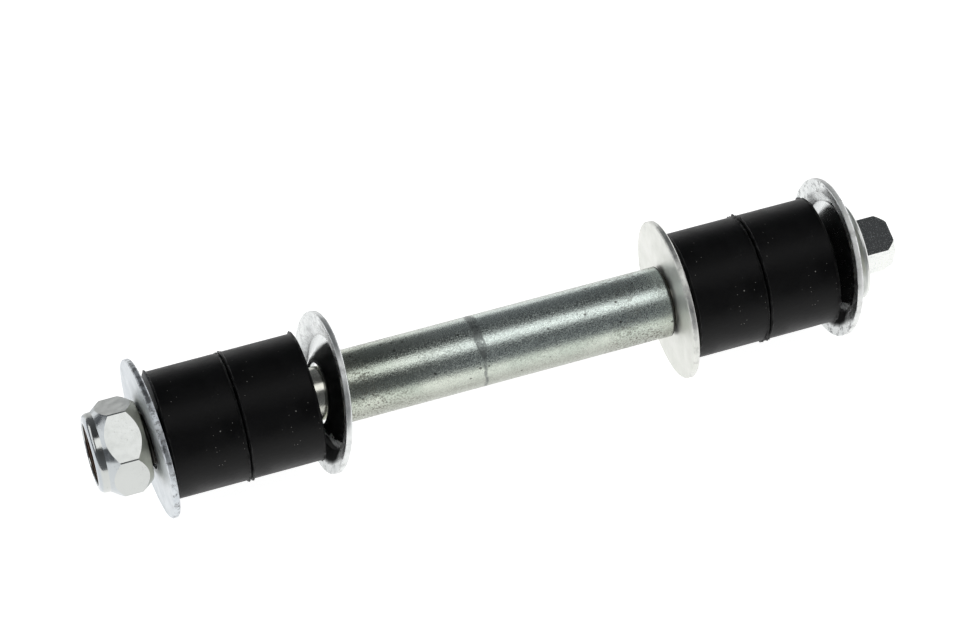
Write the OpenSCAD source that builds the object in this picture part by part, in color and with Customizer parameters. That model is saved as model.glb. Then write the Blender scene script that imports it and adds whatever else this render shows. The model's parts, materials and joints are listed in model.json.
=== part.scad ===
// Stabilizer link: a flanged bolt carries two pairs of rubber bushings, a spacer sleeve,
// flat and cupped washers and a lock nut. The bolt lies along X, with the nut at -X.

/* [Bolt] */
// Diameter of the plain shank
bolt_d = 12; // [10:0.5:13]
// How much smaller the threaded length is than the shank, on diameter
thread_reduction = 0.8; // [0.4:0.1:1.2]
// Length of the thread from the bolt's end
thread_len = 42; // [30:1:60]
// Chamfer at the bolt's end
bolt_end_chamfer = 1; // [0.5:0.1:1.6]
// How far the bolt's end lies inside the nut's collar
bolt_end_recess = 1.6; // [0.8:0.1:3]
// Diameter of the round flange under the square
flange_d = 22; // [20:0.5:26]
// Thickness of the flange at its rim
flange_rim_t = 1; // [0.8:0.1:2]
// Edge break on the flange's rim
flange_edge = 0.3; // [0.1:0.05:0.35]
// Height of the flange's shallow cone above its rim
flange_cone_h = 0.4; // [0.2:0.1:1]
// Width of the square across its flats
square_af = 9.3; // [8:0.1:11]
// Length of the square
square_len = 8; // [6:0.1:12]
// Length over which the square's corners round off at the end
square_round_len = 2.2; // [1:0.1:3]
// How much of the corner the rounding takes off, on radius
square_round_in = 1.35; // [0.8:0.05:1.6]
// Turn of the square about the bolt
square_turn = -9; // [-45:1:45]

/* [Lock nut] */
// Width of the hexagon across its flats
nut_af = 19; // [18.5:0.5:22]
// Height of the nut with its collar
nut_h = 12; // [11:0.5:14]
// Length of the flats along their middle
nut_flat_len = 7.8; // [6:0.1:8]
// Height of the chamfer at the bearing face, at the middle of a flat
nut_face_chamfer = 1.1; // [0.6:0.1:1.5]
// Axial rise of the corner chamfers for each millimetre of radius
nut_chamfer_slope = 1.375; // [0.6:0.025:1.5]
// Diameter of the crimped collar
collar_d = 17.8; // [17:0.1:18]
// Radius of the collar's rolled lip
collar_lip_r = 1.5; // [0.8:0.1:1.6]
// Depth of the rolled lip over the insert
lip_t = 0.6; // [0.4:0.1:0.8]
// Radial width of the insert that the lip covers
lip_cover = 0.8; // [0.4:0.1:1]
// Length of the nylon insert
insert_len = 2.7; // [2:0.1:3]
// Wall of the collar around the insert
collar_wall = 1.2; // [0.9:0.1:1.4]
// Turn of the nut about the bolt
nut_turn = 4.4; // [0:0.2:60]

/* [Washers] */
// Outer diameter of all washers
washer_d = 36; // [34:0.5:42]
// Plate thickness of all washers
washer_t = 1.4; // [1:0.1:2]
// Edge break on the washers' rims
washer_edge = 0.25; // [0.1:0.05:0.4]
// Width of the nearly flat rim of a cup
cup_rim_w = 3; // [2:0.1:3.5]
// Fall of that rim towards the crease
cup_rim_fall = 0.45; // [0.1:0.05:0.6]
// Width of the slope from the rim to the crease
cup_slope_w = 2.2; // [1.5:0.1:3]
// Depth of the crease below the rim
cup_crease_depth = 1.7; // [1:0.1:2]
// Height of the raised hub above the rim
hub_rise = 0.6; // [0.4:0.1:1.4]
// Width of the hub's flat top around the bore
hub_top_w = 1.2; // [0.8:0.1:1.6]

/* [Bushings] */
// Outer diameter of a rubber bushing
bushing_d = 28.5; // [24:0.5:31]
// Length of one bushing
bushing_len = 16.6; // [12:0.1:22]
// Height of the moulding flash at a bushing's ends
flash_h = 0.25; // [0.1:0.05:0.5]
// Width of the moulding flash
flash_w = 0.6; // [0.3:0.1:1]
// Chamfer at the mouths of a bushing's bore
bushing_bore_chamfer = 0.8; // [0.3:0.1:1.5]

/* [Spacer sleeve] */
// Length of the sleeve
sleeve_len = 75.8; // [40:0.1:120]
// Wall of the sleeve
sleeve_wall = 1.75; // [1.2:0.05:3]
// Edge break at the sleeve's ends
sleeve_edge = 0.3; // [0.1:0.05:0.6]

/* [Play and clearance] */
// Play of the washers' bores on the bolt, on diameter
washer_bore_play = 1.4; // [0.8:0.1:1.6]
// Play of the bushings' bores on the bolt, on diameter
bushing_bore_play = 0.5; // [0.2:0.1:1]
// Play of the sleeve's bore on the bolt, on diameter
sleeve_bore_play = 0.5; // [0.2:0.1:1]
// Running clearance of the nut on the thread, on diameter
thread_play = 0.1; // [0.04:0.02:0.2]
// Gap between the two bushings of a pair
seam_gap = 0.2; // [0.1:0.05:0.5]
// Least gap between the nut and the washer under it
nut_gap = 0.2; // [0.2:0.05:0.8]
// Least free play between the nut's washer and the nut-end bushings
nut_end_play = 0.5; // [0.5:0.1:4]
// Least free play between the sleeve and its cup washer
sleeve_cup_play = 1.55; // [0.5:0.05:3]
// Free play between the sleeve and the flat washer at its head end
sleeve_play = 0.6; // [0.5:0.1:4]
// Free play between that washer and the head-end bushings
head_end_play = 1.4; // [0.5:0.1:4]
// Least free play between the bolt's flange and the cup washer under it
flange_play = 2.1; // [0.5:0.1:3]
// Least clearance between the flange's cup washer and the bushing that it faces
cup_flange_gap = 0.4; // [0.25:0.05:1]
// Least clearance between the sleeve's cup washer and the bushing that it faces
cup_sleeve_gap = 0.85; // [0.25:0.05:1.5]
// Lean of the cup washer at the sleeve
cup_sleeve_lean_angle = 10; // [0:0.5:12]
// Lean of the cup washer at the bolt's flange
cup_flange_lean_angle = 6; // [0:0.5:12]
// Sideways lean of the flat washer under the nut
nut_washer_lean_angle = 3.5; // [0:0.5:5]

/* [Hidden] */
$fn = 96;
arc_steps = 8;
cut_over = 1;

bolt_r = bolt_d / 2;
thread_r = bolt_r - thread_reduction / 2;
nut_bore_r = thread_r + thread_play / 2;
washer_r = washer_d / 2;
washer_bore_r = bolt_r + washer_bore_play / 2;
bushing_r = bushing_d / 2;
bushing_bore_r = bolt_r + bushing_bore_play / 2;
sleeve_bore_r = bolt_r + sleeve_bore_play / 2;
sleeve_r = sleeve_bore_r + sleeve_wall;
flange_r = flange_d / 2;
flange_t = flange_rim_t + flange_cone_h;
square_corner_r = square_af / sqrt(2);

nut_face_r = nut_af / 2 - nut_face_chamfer / nut_chamfer_slope;
flash_r = bushing_r + flash_h;
pair_len = 2 * bushing_len + seam_gap;

// Faces of the washers as [radius, height] points, from the middle of the plate at the bore
cup_slope_r = washer_r - cup_rim_w;
cup_crease_r = cup_slope_r - cup_slope_w;
hub_r = washer_bore_r + hub_top_w;
hub_h = washer_t / 2;
rim_h = hub_h - hub_rise;
cup_front = [[washer_bore_r, hub_h], [hub_r, hub_h], [cup_crease_r, rim_h - cup_crease_depth],
    [cup_slope_r, rim_h - cup_rim_fall], [washer_r, rim_h]];
cup_back = [for (p = cup_front) [p[0], washer_t - p[1]]];
flat_face = [[washer_bore_r, washer_t / 2], [washer_r, washer_t / 2]];

// How far a face reaches along the bolt when its washer leans, within a radius from the bolt's axis
function leaning(face, lean) =
    [for (p = face) [p[0] * cos(lean) - p[1] * sin(lean), p[0] * sin(lean) + p[1] * cos(lean)]];
function reach(face, r, lean) = let (points = leaning(face, lean))
    max(concat([lookup(r, points)], [for (p = points) if (p[0] < r) p[1]]));

// Stations along the bolt, counted from the end of the square towards the nut; washers by their middle
s_flange = square_len + flange_t;
s_cup_flange = s_flange + flange_play + reach(cup_back, flange_r, cup_flange_lean_angle);
s_head_pair = s_cup_flange + reach(cup_front, flash_r, cup_flange_lean_angle) + cup_flange_gap;
s_head_washer = s_head_pair + pair_len + head_end_play + washer_t / 2;
s_sleeve = s_head_washer + washer_t / 2 + sleeve_play;
s_cup_sleeve = s_sleeve + sleeve_len + sleeve_cup_play
    + reach(cup_back, sleeve_r, cup_sleeve_lean_angle);
s_nut_pair = s_cup_sleeve + reach(cup_front, flash_r, cup_sleeve_lean_angle) + cup_sleeve_gap;
s_nut_washer = s_nut_pair + pair_len + nut_end_play + reach(flat_face, flash_r, nut_washer_lean_angle);
s_nut = s_nut_washer + reach(flat_face, nut_face_r, nut_washer_lean_angle) + nut_gap;
link_len = s_nut + nut_h;

// Points of an arc in the plane of a profile
function arc(x, y, r, from, to) =
    [for (i = [0:arc_steps]) let (a = from + (to - from) * i / arc_steps) [x + r * cos(a), y + r * sin(a)]];

// Stands a piece drawn along +Z on the bolt, from station s towards the nut
module along_bolt(s) {
    translate([link_len / 2 - s, 0, 0]) rotate([0, -90, 0]) children();
}

// A body of revolution from a profile of [radius, height] points
module turned(profile) {
    rotate_extrude() polygon(profile);
}

module bolt() {
    shank_end = link_len - bolt_end_recess;
    thread_start = shank_end - thread_len;
    end_r = thread_r - bolt_end_chamfer;
    color([0.72, 0.73, 0.71]) along_bolt(0) union() {
        turned([[0, square_len], [square_af / 2, square_len],
            [flange_r - flange_edge, square_len + flange_cone_h],
            [flange_r, square_len + flange_cone_h + flange_edge], [flange_r, s_flange - flange_edge],
            [flange_r - flange_edge, s_flange], [bolt_r, s_flange],
            [bolt_r, thread_start - thread_reduction / 2], [thread_r, thread_start],
            [thread_r, shank_end - bolt_end_chamfer], [end_r, shank_end], [0, shank_end]]);
        drive_square();
    }
}

// The square at the bolt's end, with its corners turned off by a steep dome
module drive_square() {
    root = square_len + flange_cone_h;
    round_r = square_corner_r - square_round_in;
    dome = square_round_len / (pow(square_corner_r, 2) - pow(round_r, 2));
    clear_r = square_corner_r + cut_over;
    end_round = [for (i = [0:arc_steps]) let (r = round_r + (clear_r - round_r) * i / arc_steps)
        [r, dome * (r * r - round_r * round_r)]];
    intersection() {
        linear_extrude(root) rotate(square_turn) square(square_af, center = true);
        turned(concat([[0, 0]], end_round, [[clear_r, root + cut_over], [0, root + cut_over]]));
    }
}

// A hexagon turned to its chamfers, collar and rolled lip, then bored for the thread and the insert
module lock_nut() {
    half_af = nut_af / 2;
    corner_r = nut_af / sqrt(3);
    clear_r = corner_r + cut_over;
    collar_r = collar_d / 2;
    collar_foot = nut_face_chamfer + nut_flat_len + (half_af - collar_r) * nut_chamfer_slope;
    insert_foot = nut_h - lip_t - insert_len;
    insert_r = collar_r - collar_wall;
    outline = concat([[0, 0], [nut_face_r, 0], [clear_r, (clear_r - nut_face_r) * nut_chamfer_slope],
        [clear_r, collar_foot - (clear_r - collar_r) * nut_chamfer_slope], [collar_r, collar_foot]],
        arc(collar_r - collar_lip_r, nut_h - collar_lip_r, collar_lip_r, 0, 90), [[0, nut_h]]);
    color([0.78, 0.79, 0.78]) along_bolt(s_nut) difference() {
        intersection() {
            linear_extrude(nut_h + cut_over) rotate(nut_turn) circle(corner_r, $fn = 6);
            turned(outline);
        }
        translate([0, 0, -cut_over]) cylinder(r = nut_bore_r, h = nut_h + 2 * cut_over);
        translate([0, 0, insert_foot]) cylinder(r = insert_r, h = insert_len);
        translate([0, 0, insert_foot]) cylinder(r = insert_r - lip_cover, h = nut_h);
    }
}

module nylon_insert() {
    insert_r = collar_d / 2 - collar_wall;
    color([0.16, 0.09, 0.05]) along_bolt(s_nut + nut_h - lip_t - insert_len) difference() {
        cylinder(r = insert_r, h = insert_len);
        translate([0, 0, -cut_over]) cylinder(r = nut_bore_r, h = insert_len + 2 * cut_over);
    }
}

// A flat washer that leans sideways about its bore's centre
module flat_washer(s, lean) {
    e = washer_edge;
    h = washer_t / 2;
    color([0.76, 0.78, 0.77]) along_bolt(s) rotate([lean, 0, 0])
        turned([[washer_bore_r, -h], [washer_r - e, -h], [washer_r, e - h], [washer_r, h - e],
            [washer_r - e, h], [washer_bore_r, h]]);
}

module flat_washer_nut_end() {
    flat_washer(s_nut_washer, nut_washer_lean_angle);
}

module flat_washer_sleeve_end() {
    flat_washer(s_head_washer, 0);
}

module bushing(s) {
    c = bushing_bore_chamfer;
    color([0.06, 0.06, 0.06]) along_bolt(s)
        turned([[bushing_bore_r + c, 0], [bushing_r, 0], [flash_r, flash_w / 2], [bushing_r, flash_w],
            [bushing_r, bushing_len - flash_w], [flash_r, bushing_len - flash_w / 2],
            [bushing_r, bushing_len], [bushing_bore_r + c, bushing_len], [bushing_bore_r, bushing_len - c],
            [bushing_bore_r, c]]);
}

module bushing_head_outer() {
    bushing(s_head_pair);
}

module bushing_head_inner() {
    bushing(s_head_pair + bushing_len + seam_gap);
}

module bushing_nut_inner() {
    bushing(s_nut_pair);
}

module bushing_nut_outer() {
    bushing(s_nut_pair + bushing_len + seam_gap);
}

// A pressed cup washer that opens towards the nut round a raised hub, and leans about its bore's centre
module cup_washer(s, lean) {
    e = washer_edge;
    plate = [0, washer_t];
    rim = [washer_r, rim_h];
    pressed = [for (p = cup_front) if (p[0] < washer_r) p];
    last = len(pressed) - 1;
    color([0.74, 0.76, 0.75]) along_bolt(s) rotate([0, lean, 0])
        turned(concat(pressed, [rim - [e, 0], rim - [0, e], rim - plate + [0, e], rim - plate - [e, 0]],
            [for (i = [last:-1:0]) pressed[i] - plate]));
}

module cup_washer_sleeve_end() {
    cup_washer(s_cup_sleeve, cup_sleeve_lean_angle);
}

module cup_washer_flange_end() {
    cup_washer(s_cup_flange, cup_flange_lean_angle);
}

module spacer_sleeve() {
    e = sleeve_edge;
    color([0.62, 0.62, 0.58]) along_bolt(s_sleeve)
        turned([[sleeve_bore_r + e, 0], [sleeve_r - e, 0], [sleeve_r, e], [sleeve_r, sleeve_len - e],
            [sleeve_r - e, sleeve_len], [sleeve_bore_r + e, sleeve_len], [sleeve_bore_r, sleeve_len - e],
            [sleeve_bore_r, e]]);
}

bolt();
lock_nut();
nylon_insert();
flat_washer_nut_end();
bushing_nut_outer();
bushing_nut_inner();
cup_washer_sleeve_end();
spacer_sleeve();
flat_washer_sleeve_end();
bushing_head_inner();
bushing_head_outer();
cup_washer_flange_end();
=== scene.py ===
"""Looks of a stabilizer link: worn zinc, a grimy sleeve, moulded rubber with flash, and a cut thread."""
import json
import math

import bmesh
import bpy
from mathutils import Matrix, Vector, noise


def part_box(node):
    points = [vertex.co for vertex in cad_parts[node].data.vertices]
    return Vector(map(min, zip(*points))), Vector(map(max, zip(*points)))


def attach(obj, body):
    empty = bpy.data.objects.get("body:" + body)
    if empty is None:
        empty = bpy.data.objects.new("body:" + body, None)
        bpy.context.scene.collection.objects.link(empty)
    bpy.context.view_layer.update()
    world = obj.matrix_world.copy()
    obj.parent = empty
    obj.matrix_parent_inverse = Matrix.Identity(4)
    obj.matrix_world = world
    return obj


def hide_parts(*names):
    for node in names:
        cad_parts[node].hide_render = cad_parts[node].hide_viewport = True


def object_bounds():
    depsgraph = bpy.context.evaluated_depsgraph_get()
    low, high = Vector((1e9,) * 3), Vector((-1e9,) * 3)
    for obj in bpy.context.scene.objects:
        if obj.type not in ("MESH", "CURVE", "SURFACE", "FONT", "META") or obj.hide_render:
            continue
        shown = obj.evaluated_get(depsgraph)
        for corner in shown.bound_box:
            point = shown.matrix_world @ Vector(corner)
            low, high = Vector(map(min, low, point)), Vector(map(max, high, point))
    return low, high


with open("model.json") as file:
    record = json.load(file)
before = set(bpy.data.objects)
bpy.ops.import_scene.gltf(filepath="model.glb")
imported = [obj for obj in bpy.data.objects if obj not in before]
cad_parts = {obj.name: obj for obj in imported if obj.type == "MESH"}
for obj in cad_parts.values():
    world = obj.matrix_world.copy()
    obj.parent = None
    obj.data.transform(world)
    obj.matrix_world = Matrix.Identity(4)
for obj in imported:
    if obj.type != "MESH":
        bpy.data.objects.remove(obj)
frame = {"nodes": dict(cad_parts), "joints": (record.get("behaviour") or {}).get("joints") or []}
cad_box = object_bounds()
scene = bpy.context.scene
MM = 0.001

# Camera, at the photograph's viewing angle
CAMERA_PLACE = (-0.15415, -0.4472, 0.6251)
CAMERA_LOOK = (0.1939, 0.5775, -0.793)
CAMERA_LENS = 133.5
SENSOR_WIDTH = 36.0

# Studio: a pale floor that glows near the link, a long softbox overhead, a smaller one beyond each end,
# and surroundings that darken upwards
FLOOR_SIZE = 6.0
FLOOR_CELLS = 8
FLOOR_TONE = (0.50, 0.50, 0.495, 1.0)
FLOOR_GLOW = 0.97
FLOOR_GLOW_FAR = 0.60
FLOOR_FADE = (0.25, 1.60)
SOFTBOX_PLACE = (0.05, -0.14, 0.70)
SOFTBOX_SIZE = (1.1, 0.36)
SOFTBOX_POWER = 1.6
NUT_BOX_PLACE = (-0.60, 0.22, 0.36)
HEAD_BOX_PLACE = (0.65, 0.05, 0.22)
SIDE_BOX_SIZE = (0.80, 0.30)
NUT_BOX_POWER = 0.8
HEAD_BOX_POWER = 1.3
SURROUNDINGS = (0.96, 1.0, 1.06, 1.0)
SURROUNDINGS_LOW = 0.17
SURROUNDINGS_HIGH = 0.05

# Rubber bushings, in millimetres
BUSHING_R = 14.25
BUSHING_BORE_R = 6.25
BORE_CHAMFER = 0.8
BORE_FILLET = 0.2
BUSHING_EDGE = 0.1
BUSHING_EDGE_R = 0.35
FLASH_W = 0.6
FLASH_H = 0.30
FLASH_FOOT_R = 0.1
FLASH_TIP_R = 0.05
FLASH_TEAR = 0.45
RUBBER_WAVE = 0.05
WAVE_DEPTH = 1.0
FLASH_FROM = 0.02

# Steps of the noise that makes the rubber uneven: its waves, and the coarse and fine tears of the flash
WAVE_RATE = 1.5
TEAR_RATE = 7
FINE_TEAR_RATE = 19
FINE_TEAR_SHARE = 0.6

# Flat and pressed cup washers, in millimetres
WASHER_R = 18.0
CUP_BORE_R = 6.7
HUB_R = 7.9
CUP_CREASE_R = 12.8
CUP_SLOPE_R = 15.0
CUP_T = 1.4
HUB_RISE = 0.6
CUP_CREASE_DEPTH = 1.7
CUP_RIM_FALL = 0.45
CUP_EDGE_R = 0.3
HUB_FILLET = 2.5
CREASE_FILLET = 0.3
SLOPE_FILLET = 1.5
RIM_EDGE_R = 0.35
BACK_FILLET_EXTRA = 0.2

# Gloss of the black patch of painted shade low in the cups
SHADE_PATCH_GLOSS = 0.05

# Where the bolt's finish changes, in millimetres: radii, and lengths from its two ends
SHANK_R = 6.1
FLANGE_FOOT_R = 7.0
SQUARE_END = 8.2
# The thread is darkened as painted shade this far from the nut end
THREAD_SHADE_END = 16

# Place of the dark ring on the sleeve, as a share of its length
SLEEVE_RING = 0.42

# Thread on the bolt, in millimetres
THREAD_PITCH = 1.25
THREAD_ROOT_R = 5.57
THREAD_CREST_R = 5.95
THREAD_CREST_W = 0.2
THREAD_FOOT_W = 1.05
THREAD_LEN = 42.0
THREAD_STEPS = 40

# Turned surfaces
TURN_STEPS = 192
ARC_STEPS = 5
CORNER_SHARE = 0.45
SHARP_ANGLE = math.radians(38)

# Broken edges of the lock nut: their width in millimetres, and how they are shaded
NUT_EDGE = 0.3
EDGE_STEPS = 3
EDGE_ANGLE = math.radians(50)
FLAT_ANGLE = math.radians(0.5)
CREASE_ANGLE = math.radians(28)
WELD_REACH = 0.001
FLAT_WEIGHT = 100


class Finish:
    """One procedural material on a Principled shader, in millimetres of the piece's own frame."""

    def __init__(self, name, **constants):
        self.material = bpy.data.materials.new(name)
        self.material.use_nodes = True
        self.nodes = self.material.node_tree.nodes
        self.links = self.material.node_tree.links
        self.shader = self.nodes["Principled BSDF"]
        for socket, value in constants.items():
            self.shader.inputs[socket.replace("_", " ")].default_value = value
        place = self.nodes.new("ShaderNodeTexCoord").outputs
        self.mm = self.node("VectorMath", {0: place["Object"], "Scale": 1 / MM}, operation="SCALE")
        self.along, self.side, self.up = self.split(self.mm)
        self.facing, self.facing_side, _ = self.split(place["Normal"])
        self.angle = self.math("ARCTAN2", self.up, self.side)
        squares = self.math("POWER", self.side, 2), self.math("POWER", self.up, 2)
        self.radius = self.math("SQRT", self.math("ADD", *squares))

    def split(self, vector):
        made = self.nodes.new("ShaderNodeSeparateXYZ")
        self.links.new(vector, made.inputs[0])
        return made.outputs

    def node(self, kind, inputs, output=0, **settings):
        made = self.nodes.new("ShaderNode" + kind)
        for key, value in settings.items():
            setattr(made, key, value)
        for key, value in inputs.items():
            if isinstance(value, bpy.types.NodeSocket):
                self.links.new(value, made.inputs[key])
            else:
                made.inputs[key].default_value = value
        return made.outputs[output]

    def math(self, operation, a, b=0.0, c=0.0):
        return self.node("Math", {0: a, 1: b, 2: c}, operation=operation)

    def noise(self, scale, detail=3.0, roughness=0.55, vector=None):
        inputs = {"Vector": vector or self.mm, "Scale": scale, "Detail": detail, "Roughness": roughness}
        return self.node("TexNoise", inputs)

    def stretched(self, along, around, outwards):
        """A vector whose noise is drawn out along, around or away from the bolt's axis."""
        turned = self.node("CombineXYZ", {
            0: self.math("MULTIPLY", self.along, along),
            1: self.math("MULTIPLY", self.math("SINE", self.angle), around),
            2: self.math("MULTIPLY", self.math("COSINE", self.angle), around)})
        outward = self.node("CombineXYZ", {0: self.math("MULTIPLY", self.radius, outwards)})
        return self.node("VectorMath", {0: turned, 1: outward}, operation="ADD")

    def ramp(self, value, low, high, start=0.0, end=1.0):
        inputs = {0: value, 1: low, 2: high, 3: start, 4: end}
        return self.node("MapRange", inputs, interpolation_type="SMOOTHSTEP")

    def both(self, a, b):
        return self.math("MULTIPLY", a, b)

    def either(self, a, b):
        return self.math("MAXIMUM", a, b)

    def band(self, value, middle, half, soft):
        """1 near the middle value, 0 outside."""
        off = self.math("ABSOLUTE", self.math("SUBTRACT", value, middle))
        return self.ramp(off, half, self.math("ADD", half, soft), 1.0, 0.0)

    def blend(self, factor, a, b):
        return self.node("Mix", {0: factor, 6: a, 7: b}, output=2, data_type="RGBA")

    def specks(self, scale, size, share):
        """Scattered dots: one per cell of the pattern, in a share of the cells."""
        cells = self.nodes.new("ShaderNodeTexVoronoi")
        self.links.new(self.mm, cells.inputs["Vector"])
        cells.inputs["Scale"].default_value = scale
        chosen = self.node("SeparateColor", {0: cells.outputs["Color"]})
        dots = self.ramp(cells.outputs["Distance"], size * 0.6, size, 1.0, 0.0)
        return self.both(dots, self.math("LESS_THAN", chosen, share))

    def wear(self, colour, roughness, height=None, depth=0.02):
        self.links.new(colour, self.shader.inputs["Base Color"])
        self.links.new(roughness, self.shader.inputs["Roughness"])
        if height is not None:
            inputs = {"Height": height, "Distance": depth * MM, "Strength": 1.0}
            self.links.new(self.node("Bump", inputs), self.shader.inputs["Normal"])
        return self.material


def zinc(name, light, dull, flecks, roughness):
    """Zinc plating with clouded tone and dark flecks: the finish, its colour, roughness and fine grain."""
    f = Finish(name, Metallic=1.0)
    cloud = f.noise(0.13, 4.0, 0.6)
    grain = f.noise(2.4, 4.0, 0.7)
    spots = f.both(f.ramp(grain, 0.60, 0.68), f.ramp(f.noise(0.22, 3.0), 0.47, 0.62, 0.1, 1.0))
    spots = f.math("MULTIPLY", spots, flecks)
    colour = f.blend(f.ramp(cloud, 0.36, 0.66), light, dull)
    colour = f.blend(spots, colour, (0.16, 0.16, 0.15, 1.0))
    rough = f.math("ADD", f.ramp(f.noise(0.5, 5.0, 0.65), 0.3, 0.7, roughness, roughness + 0.14),
                   f.math("MULTIPLY", spots, 0.25))
    return f, colour, rough, grain


def washer_zinc(name, light, dull, smudges):
    """Satin plating, smudged towards the rim and dark along its edge."""
    f, colour, rough, grain = zinc(name, light, dull, 0.45 * smudges, 0.36)
    near_rim = f.ramp(f.radius, WASHER_R - 3.5, WASHER_R - 0.5)
    smudge = f.both(f.ramp(f.noise(0.32, 5.0, 0.7), 0.54, 0.66), near_rim)
    colour = f.blend(f.math("MULTIPLY", smudge, 0.6 * smudges), colour, (0.22, 0.23, 0.24, 1))
    at_edge = f.ramp(f.radius, WASHER_R - 0.4, WASHER_R - 0.1)
    edge = f.both(f.ramp(f.noise(0.55, 5.0, 0.7), 0.49, 0.60), at_edge)
    colour = f.blend(f.math("MULTIPLY", edge, 0.75 * smudges), colour, (0.12, 0.12, 0.125, 1))
    lines = f.noise(1.0, 3.0, 0.6, f.stretched(0.2, 1.2, 4.0))
    height = f.math("ADD", f.math("MULTIPLY", lines, 0.5), grain)
    return f.wear(colour, rough, height, 0.012)


def cup_zinc(name, scuffs):
    """Pressed and plated: a bright hub with faint rings, a scuffed rim with a painted highlight on its
    sheared edge, painted shade along the crease, and a black patch of painted shade low down on the side
    towards the bushing.
    """
    light, dull = (0.74, 0.76, 0.755, 1), (0.64, 0.66, 0.66, 1)
    f, colour, rough, grain = zinc(name, light, dull, 0.4 * scuffs, 0.13)
    on_rim = f.ramp(f.radius, CUP_CREASE_R + 0.4, CUP_SLOPE_R + 0.8)
    scuff = f.noise(0.9, 6.0, 0.75, f.stretched(0.4, 9.0, 0.9))
    scuff = f.both(f.ramp(scuff, 0.50, 0.62), on_rim)
    colour = f.blend(f.math("MULTIPLY", scuff, 0.8 * scuffs), colour, (0.14, 0.14, 0.145, 1))
    # Painted shade: a darker line along the crease of the cup
    crease_shade = f.band(f.radius, CUP_CREASE_R, 0.05, 0.22)
    colour = f.blend(f.math("MULTIPLY", crease_shade, 0.45), colour, (0.20, 0.20, 0.20, 1))
    # Painted shade: a near-black, non-metallic patch low down inside the rim, on the side towards the
    # bushing
    low = f.math("ADD", f.up, f.ramp(f.noise(0.35, 4.0, 0.6), 0.3, 0.7, -1.5, 1.5))
    inside_rim = f.ramp(f.radius, CUP_SLOPE_R + 1.2, CUP_SLOPE_R - 0.2)
    towards_bushing = f.ramp(f.facing, 0.1, -0.2)
    low_shade_patch = f.both(f.both(f.ramp(low, -3.0, -7.0), inside_rim), towards_bushing)
    colour = f.blend(f.math("MULTIPLY", low_shade_patch, 0.97), colour, (0.006, 0.006, 0.0065, 1))
    rings = f.noise(1.0, 2.0, 0.5, f.stretched(0.0, 0.0, 2.6))
    height = f.math("ADD", f.math("MULTIPLY", rings, 0.8), f.math("MULTIPLY", grain, 0.35))
    rough = f.math("ADD", rough, f.math("MULTIPLY", on_rim, 0.09))
    rough = f.math("ADD", rough, f.math("MULTIPLY", scuff, 0.15))
    rough = f.math("ADD", rough, f.math("MULTIPLY", low_shade_patch, 0.5))
    # Painted highlight: the sheared outer edge is made near white, and it is also really rougher
    sheared_edge_and_highlight = f.math("MULTIPLY", f.ramp(f.radius, WASHER_R - 0.12, WASHER_R - 0.02), scuffs)
    colour = f.blend(f.math("MULTIPLY", sheared_edge_and_highlight, 0.8), colour, (0.95, 0.955, 0.94, 1))
    rough = f.math("ADD", rough, f.math("MULTIPLY", sheared_edge_and_highlight, 0.35))
    # This specular level only acts on the non-metallic patch of painted shade
    f.shader.inputs["Specular IOR Level"].default_value = SHADE_PATCH_GLOSS
    f.links.new(f.math("SUBTRACT", 1.0, low_shade_patch), f.shader.inputs["Metallic"])
    return f.wear(colour, rough, height, 0.012)


def nut_zinc():
    """Bright plating with a duller flat, a warm foot and a bluish mouth."""
    light, dull = (0.57, 0.585, 0.57, 1), (0.54, 0.555, 0.54, 1)
    f, colour, rough, grain = zinc("nut_zinc", light, dull, 0.5, 0.09)
    dull_flat = f.ramp(f.facing_side, 0.35, 0.5)
    rough = f.math("ADD", rough, f.math("MULTIPLY", dull_flat, 0.32))
    foot = f.ramp(f.facing, 0.30, 0.45)
    colour = f.blend(f.math("MULTIPLY", foot, 0.75), colour, (0.36, 0.355, 0.275, 1))
    mouth = f.ramp(f.facing, -0.35, -0.75)
    colour = f.blend(f.math("MULTIPLY", mouth, 0.5), colour, (0.40, 0.45, 0.52, 1))
    return f.wear(colour, rough, grain, 0.003)


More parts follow.
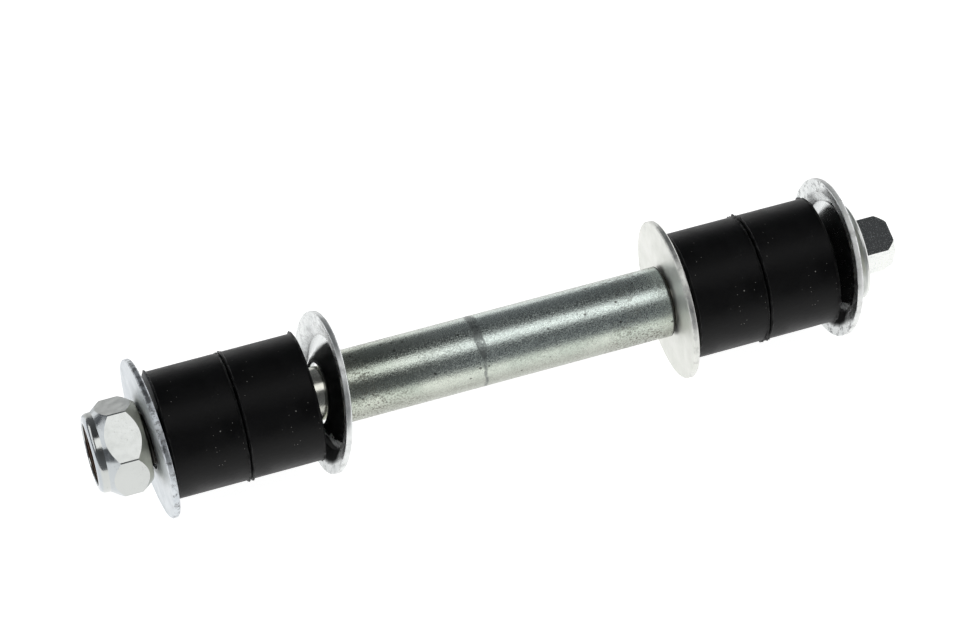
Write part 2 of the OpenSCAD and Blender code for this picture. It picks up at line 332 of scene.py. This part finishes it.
def sleeve_steel():
    """Dull plating: hazy past the middle, with a painted highlight along the top, painted shade below and
    behind and along the end edges, grimy at the ends, with a dark ring.
    """
    f = Finish("sleeve_steel", Metallic=1.0)
    lo, hi = (v.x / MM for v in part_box("spacer_sleeve"))
    middle = (lo + hi) / 2
    half = (hi - lo) / 2
    from_middle = f.math("ABSOLUTE", f.math("SUBTRACT", f.along, middle))
    ends = f.ramp(from_middle, 12.0, 33.0, 0.25, 1.0)
    tone = f.ramp(f.noise(0.09, 4.0, 0.6), 0.35, 0.68)
    colour = f.blend(tone, (0.605, 0.64, 0.56, 1), (0.48, 0.53, 0.455, 1))
    away_from_low_end = f.ramp(f.along, lo, middle)
    # Painted highlight: lighter and bluer on the upper side, growing from the low end to the middle
    bluish = f.both(away_from_low_end, f.ramp(f.up, 3.0, 5.5, 0.15, 0.8))
    colour = f.blend(bluish, colour, (0.77, 0.855, 0.825, 1))
    grain = f.noise(1.9, 5.0, 0.72)
    # Painted shade: darker below and towards the back, broken up by the grain
    shade_below_behind = f.either(f.ramp(f.up, 3.0, -1.0), f.ramp(f.side, 3.5, 6.0))
    shade_below_behind = f.both(shade_below_behind, f.ramp(grain, 0.35, 0.6, 0.55, 0.85))
    colour = f.blend(shade_below_behind, colour, (0.33, 0.335, 0.30, 1))
    grime = f.both(f.ramp(grain, 0.46, 0.62), f.both(ends, f.ramp(f.noise(0.16, 3.0), 0.36, 0.58)))
    colour = f.blend(f.math("MULTIPLY", grime, 0.85), colour, (0.15, 0.145, 0.12, 1))
    pits = f.specks(0.42, 0.16, 0.35)
    colour = f.blend(f.math("MULTIPLY", pits, 0.8), colour, (0.10, 0.10, 0.09, 1))
    around = f.noise(1.0, 3.0, 0.6, f.stretched(0.0, 2.2, 0.0))
    ring_x = lo + SLEEVE_RING * (hi - lo)
    wander = f.math("ADD", f.along, f.ramp(around, 0.3, 0.7, -0.2, 0.2))
    ring = f.band(wander, ring_x, f.ramp(f.up, 4.5, 7.0, 0.15, 0.9), 0.4)
    ring = f.both(ring, f.ramp(f.noise(0.8, 4.0, 0.65), 0.30, 0.55, 0.2, 0.7))
    colour = f.blend(ring, colour, (0.14, 0.15, 0.15, 1))
    streaks = f.noise(1.0, 3.0, 0.6, f.stretched(5.0, 1.5, 0.0))
    dirt = f.math("MULTIPLY", f.either(grime, ring), 0.22)
    rough = f.math("ADD", f.ramp(streaks, 0.3, 0.7, 0.09, 0.17), dirt)
    salt = f.ramp(f.noise(4.2, 3.0, 0.7), 0.42, 0.66)
    rough = f.math("ADD", rough, f.both(salt, f.ramp(away_from_low_end, 0, 1, 0.20, 0.40)))
    height = f.math("ADD", f.math("MULTIPLY", streaks, 0.5), grain)
    # Painted shade: a dark line along the sleeve's end edges, where it meets the washers
    mouth = f.ramp(from_middle, half - 0.7, half - 0.3)
    colour = f.blend(f.math("MULTIPLY", mouth, 0.9), colour, (0.06, 0.06, 0.055, 1))
    rough = f.math("ADD", rough, f.math("MULTIPLY", mouth, 0.4))
    return f.wear(colour, rough, height, 0.06)


def bolt_steel():
    """Plating with a warm shank, a rough flange, a smooth speckled square and painted shade on the thread
    at the nut end.
    """
    light, dull = (0.82, 0.83, 0.80, 1), (0.74, 0.755, 0.735, 1)
    f, colour, rough, grain = zinc("bolt_steel", light, dull, 0.7, 0.13)
    shank = f.ramp(f.radius, SHANK_R + 0.5, SHANK_R)
    lo, hi = (v.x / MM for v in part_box("bolt"))
    square = f.ramp(f.along, hi - SQUARE_END - 0.4, hi - SQUARE_END)
    shank = f.both(shank, f.math("SUBTRACT", 1.0, square))
    colour = f.blend(f.math("MULTIPLY", shank, 0.35), colour, (0.58, 0.55, 0.40, 1))
    speckle = f.ramp(f.noise(3.2, 5.0, 0.7), 0.50, 0.62, 0.0, 0.5)
    colour = f.blend(f.both(square, speckle), colour, (0.50, 0.53, 0.55, 1))
    smooth = f.math("ADD", f.math("MULTIPLY", speckle, 0.45), 0.07)
    rough = f.node("Mix", {0: square, 2: rough, 3: smooth})
    # Painted shade: the thread darkened towards the nut end, in the gap between nut and washer
    thread_shade = f.ramp(f.along, lo + THREAD_SHADE_END + 4, lo + THREAD_SHADE_END)
    colour = f.blend(f.math("MULTIPLY", thread_shade, 0.95), colour, (0.03, 0.028, 0.025, 1))
    rough = f.math("ADD", rough, f.math("MULTIPLY", thread_shade, 0.3))
    flange = f.ramp(f.radius, FLANGE_FOOT_R, FLANGE_FOOT_R + 0.6)
    rough = f.math("ADD", rough, f.math("MULTIPLY", flange, 0.22))
    height = f.both(grain, f.ramp(square, 0, 1, 1.0, 0.25))
    return f.wear(colour, rough, height, 0.012)


def nylon():
    f = Finish("nylon", Specular_IOR_Level=0.4)
    tone = f.ramp(f.noise(0.9, 4.0, 0.6), 0.3, 0.7)
    colour = f.blend(tone, (0.11, 0.055, 0.030, 1), (0.045, 0.025, 0.016, 1))
    return f.wear(colour, f.ramp(tone, 0, 1, 0.34, 0.5), f.noise(1.6, 3.0), 0.03)


def bushing_rubber():
    """Black rubber with faint smears and pale dust."""
    f = Finish("bushing_rubber", Specular_IOR_Level=0.16)
    cloud = f.noise(0.16, 5.0, 0.65)
    black, faded = (0.0022, 0.0022, 0.0024, 1), (0.0045, 0.0046, 0.0048, 1)
    colour = f.blend(f.ramp(cloud, 0.36, 0.70), black, faded)
    smear = f.noise(1.0, 4.0, 0.65, f.stretched(0.10, 2.4, 0.3))
    smear = f.both(f.ramp(smear, 0.54, 0.74), f.ramp(f.noise(1.3, 4.0, 0.7), 0.42, 0.66))
    colour = f.blend(f.math("MULTIPLY", smear, 0.5), colour, (0.022, 0.023, 0.023, 1))
    cluster = f.ramp(f.noise(0.11, 3.0, 0.6), 0.44, 0.60)
    fine = f.both(f.specks(1.5, 0.15, 0.16), cluster)
    dust = f.either(f.specks(0.36, 0.075, 0.30), fine)
    colour = f.blend(f.math("MULTIPLY", dust, 0.75), colour, (0.42, 0.42, 0.39, 1))
    rough = f.math("ADD", f.ramp(cloud, 0.3, 0.7, 0.40, 0.52), f.math("MULTIPLY", smear, 0.12))
    height = f.math("ADD", f.noise(0.9, 5.0, 0.7), f.math("MULTIPLY", dust, 0.6))
    return f.wear(colour, rough, height, 0.05)


def rounded(corners):
    """A closed profile from [radius, along, corner radius] points, with each corner as an arc."""
    points = []
    for i, (r, x, fillet) in enumerate(corners):
        here = Vector((r, x))
        before = Vector(corners[i - 1][:2]) - here
        after = Vector(corners[(i + 1) % len(corners)][:2]) - here
        if fillet == 0:
            points.append(here)
            continue
        half = before.angle(after) / 2
        reach = min(fillet / math.tan(half), CORNER_SHARE * before.length, CORNER_SHARE * after.length)
        start = here + before.normalized() * reach
        end = here + after.normalized() * reach
        for step in range(ARC_STEPS + 1):
            t = step / ARC_STEPS
            points.append((1 - t) ** 2 * start + 2 * t * (1 - t) * here + t ** 2 * end)
    return points


def lathe(name, profile, swell=None):
    """A closed ring turned about X from a profile of (radius, along) points in millimetres."""
    mesh = bpy.data.meshes.new(name)
    grid = bmesh.new()
    rings = []
    for step in range(TURN_STEPS):
        angle = math.tau * step / TURN_STEPS
        ring = []
        for r, x in profile:
            if swell:
                r += swell(r, x, angle)
            ring.append(grid.verts.new((x * MM, r * MM * math.cos(angle), r * MM * math.sin(angle))))
        rings.append(ring)
    for a, b in zip(rings, rings[1:] + rings[:1]):
        for i in range(len(profile)):
            grid.faces.new((a[i - 1], a[i], b[i], b[i - 1]))
    bmesh.ops.recalc_face_normals(grid, faces=grid.faces)
    grid.to_mesh(mesh)
    grid.free()
    mesh.polygons.foreach_set("use_smooth", [True] * len(mesh.polygons))
    mesh.set_sharp_from_angle(angle=SHARP_ANGLE)
    piece = bpy.data.objects.new(name, mesh)
    scene.collection.objects.link(piece)
    return piece


def stand_for(piece, node, body, material):
    piece.data.materials.append(material)
    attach(piece, body)
    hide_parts(node)


def bushing(node, body, material, seed):
    """A moulded rubber bushing with a torn, uneven flash round each end."""
    lo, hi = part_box(node)
    length = (hi.x - lo.x) / MM
    half = length / 2
    mouth = [(BUSHING_BORE_R, -half + BORE_CHAMFER, BORE_FILLET),
             (BUSHING_BORE_R + BORE_CHAMFER, -half, BORE_FILLET)]
    rim = [(BUSHING_R - BUSHING_EDGE, -half, BUSHING_EDGE_R),
           (BUSHING_R, -half + BUSHING_EDGE, FLASH_FOOT_R),
           (BUSHING_R + FLASH_H, -half + FLASH_W / 2, FLASH_TIP_R),
           (BUSHING_R, -half + FLASH_W, FLASH_FOOT_R)]
    left = mouth + rim
    right = [(r, -x, fillet) for r, x, fillet in reversed(left)]

    def swell(r, x, angle):
        spot = Vector((math.cos(angle), math.sin(angle), seed + x / length))
        wave = RUBBER_WAVE * noise.noise(spot * WAVE_RATE)
        if r <= BUSHING_R + FLASH_FROM:
            return wave if r > BUSHING_R - WAVE_DEPTH else 0
        torn = noise.noise(spot * TEAR_RATE + Vector((seed, 0, 0)))
        torn += FINE_TEAR_SHARE * noise.noise(spot * FINE_TEAR_RATE)
        return wave + max(FLASH_TEAR * torn, BUSHING_R - r)

    piece = lathe(node + "_rubber", rounded(left + right), swell)
    piece.location.x = (lo.x + hi.x) / 2
    stand_for(piece, node, body, material)


def cup_washer(node, body, rock, material):
    """A pressed cup: a raised hub round the bore, a creased valley and a wide rim."""
    hub = CUP_T / 2
    rim = hub - HUB_RISE
    front = [(CUP_BORE_R, hub, CUP_EDGE_R), (HUB_R, hub, HUB_FILLET),
             (CUP_CREASE_R, rim - CUP_CREASE_DEPTH, CREASE_FILLET),
             (CUP_SLOPE_R, rim - CUP_RIM_FALL, SLOPE_FILLET), (WASHER_R, rim, RIM_EDGE_R)]
    back = [(r, x - CUP_T, fillet + BACK_FILLET_EXTRA) for r, x, fillet in reversed(front)]
    piece = lathe(node + "_pressed", [(r, -x) for r, x in rounded(front + back)])
    joint = next(j for j in frame["joints"] if j["name"] == rock)
    lean = -math.radians(joint["range_deg"][0]) / 2
    piece.location = joint["pos_m"]
    piece.rotation_euler = (0, lean, 0)
    stand_for(piece, node, body, material)


def thread(material):
    """The right-hand ridge cut on the bolt's nut end, tapering out at both ends."""
    lo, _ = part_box("bolt")
    turns = THREAD_LEN / THREAD_PITCH
    steps = int(turns * THREAD_STEPS)
    mesh = bpy.data.meshes.new("bolt_thread")
    grid = bmesh.new()
    before = None
    for step in range(steps + 1):
        turn = step / THREAD_STEPS
        angle = math.tau * turn
        fade = min(1, turn, turns - turn)
        crest = THREAD_ROOT_R + (THREAD_CREST_R - THREAD_ROOT_R) * fade
        x = lo.x / MM + THREAD_PITCH * turn
        section = [(THREAD_ROOT_R, -THREAD_FOOT_W / 2), (crest, -THREAD_CREST_W / 2),
                   (crest, THREAD_CREST_W / 2), (THREAD_ROOT_R, THREAD_FOOT_W / 2)]
        ring = [grid.verts.new(((x + dx) * MM, r * MM * math.cos(angle), r * MM * math.sin(angle)))
                for r, dx in section]
        if before:
            for i in range(len(ring)):
                grid.faces.new((before[i - 1], before[i], ring[i], ring[i - 1]))
        else:
            grid.faces.new(ring)
        before = ring
    grid.faces.new(before)
    bmesh.ops.recalc_face_normals(grid, faces=grid.faces)
    grid.to_mesh(mesh)
    grid.free()
    piece = bpy.data.objects.new("bolt_thread", mesh)
    scene.collection.objects.link(piece)
    mesh.materials.append(material)
    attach(piece, "bolt")


def dress(node, material, edge=0.0):
    """A CAD node keeps its shape, takes a finish and has its sharp edges broken, by so many millimetres."""
    piece = frame["nodes"][node]
    slots = piece.data.materials
    slots.clear()
    slots.append(material)
    if edge:
        piece.modifiers.new("joined", "WELD").merge_threshold = WELD_REACH * MM
        flat = piece.modifiers.new("flats", "DECIMATE")
        flat.decimate_type = "DISSOLVE"
        flat.angle_limit = FLAT_ANGLE
        bevel = piece.modifiers.new("edges", "BEVEL")
        bevel.width = edge * MM
        bevel.segments = EDGE_STEPS
        bevel.limit_method = "ANGLE"
        bevel.angle_limit = EDGE_ANGLE
        bevel.use_clamp_overlap = False
        piece.modifiers.new("creases", "EDGE_SPLIT").split_angle = CREASE_ANGLE
        piece.modifiers.new("shading", "WEIGHTED_NORMAL").weight = FLAT_WEIGHT


def camera():
    data = bpy.data.cameras.new("camera")
    data.lens = CAMERA_LENS
    data.sensor_width = SENSOR_WIDTH
    eye = bpy.data.objects.new("camera", data)
    eye.location = CAMERA_PLACE
    eye.rotation_euler = Vector(CAMERA_LOOK).to_track_quat("-Z", "Y").to_euler()
    scene.collection.objects.link(eye)
    scene.camera = eye


def floor():
    mesh = bpy.data.meshes.new("floor")
    grid = bmesh.new()
    bmesh.ops.create_grid(grid, x_segments=FLOOR_CELLS, y_segments=FLOOR_CELLS, size=FLOOR_SIZE / 2)
    grid.to_mesh(mesh)
    grid.free()
    ground = bpy.data.objects.new("floor", mesh)
    ground.location.z = cad_box[0].z
    scene.collection.objects.link(ground)
    f = Finish("pale_floor", Base_Color=FLOOR_TONE, Roughness=0.9, Specular_IOR_Level=0.0,
               Emission_Color=(1, 1, 1, 1))
    away = f.math("SQRT", f.math("ADD", f.math("POWER", f.along, 2), f.math("POWER", f.side, 2)))
    near, far = (d / MM for d in FLOOR_FADE)
    glow = f.ramp(away, near, far, FLOOR_GLOW, FLOOR_GLOW_FAR)
    f.links.new(glow, f.shader.inputs["Emission Strength"])
    mesh.materials.append(f.material)


def softbox(name, place, size, power, towards):
    data = bpy.data.lights.new(name, "AREA")
    data.shape = "RECTANGLE"
    data.size, data.size_y = size
    data.energy = power
    box = bpy.data.objects.new(name, data)
    box.location = place
    box.rotation_euler = Vector(towards).to_track_quat("-Z", "Y").to_euler()
    scene.collection.objects.link(box)


def studio_light():
    softbox("softbox", SOFTBOX_PLACE, SOFTBOX_SIZE, SOFTBOX_POWER, (0, 0, -1))
    softbox("softbox_nut_end", NUT_BOX_PLACE, SIDE_BOX_SIZE, NUT_BOX_POWER, -Vector(NUT_BOX_PLACE))
    softbox("softbox_head_end", HEAD_BOX_PLACE, SIDE_BOX_SIZE, HEAD_BOX_POWER, -Vector(HEAD_BOX_PLACE))
    world = bpy.data.worlds.new("surroundings")
    world.use_nodes = True
    nodes, links = world.node_tree.nodes, world.node_tree.links
    sky = nodes["Background"]
    sky.inputs["Color"].default_value = SURROUNDINGS
    height = nodes.new("ShaderNodeSeparateXYZ")
    links.new(nodes.new("ShaderNodeTexCoord").outputs["Generated"], height.inputs[0])
    fade = nodes.new("ShaderNodeMapRange")
    fade.inputs["To Min"].default_value = SURROUNDINGS_LOW
    fade.inputs["To Max"].default_value = SURROUNDINGS_HIGH
    links.new(height.outputs["Z"], fade.inputs["Value"])
    links.new(fade.outputs[0], sky.inputs["Strength"])
    scene.world = world
    scene.view_settings.view_transform = "Standard"


camera()
floor()
studio_light()

steel = bolt_steel()
rubber = bushing_rubber()
dress("bolt", steel)
dress("lock_nut", nut_zinc(), NUT_EDGE)
dress("nylon_insert", nylon())
dress("flat_washer_nut_end", washer_zinc(
    "washer_zinc", (0.70, 0.73, 0.755, 1), (0.60, 0.635, 0.665, 1), smudges=1.0))
dress("flat_washer_sleeve_end", washer_zinc(
    "washer_zinc_clean", (0.78, 0.785, 0.75, 1), (0.72, 0.73, 0.69, 1), smudges=0.3))
dress("spacer_sleeve", sleeve_steel())
thread(steel)
cup_washer("cup_washer_sleeve_end", "sleeve_cup", "sleeve_cup_rock", cup_zinc(
    "cup_zinc", scuffs=0.35))
cup_washer("cup_washer_flange_end", "flange_cup", "flange_cup_rock", cup_zinc(
    "cup_zinc_scuffed", scuffs=1.0))
bushing("bushing_nut_outer", "nut_bushing_outer", rubber, seed=3.1)
bushing("bushing_nut_inner", "nut_bushing_inner", rubber, seed=7.7)
bushing("bushing_head_inner", "head_bushing_inner", rubber, seed=12.4)
bushing("bushing_head_outer", "head_bushing_outer", rubber, seed=18.9)
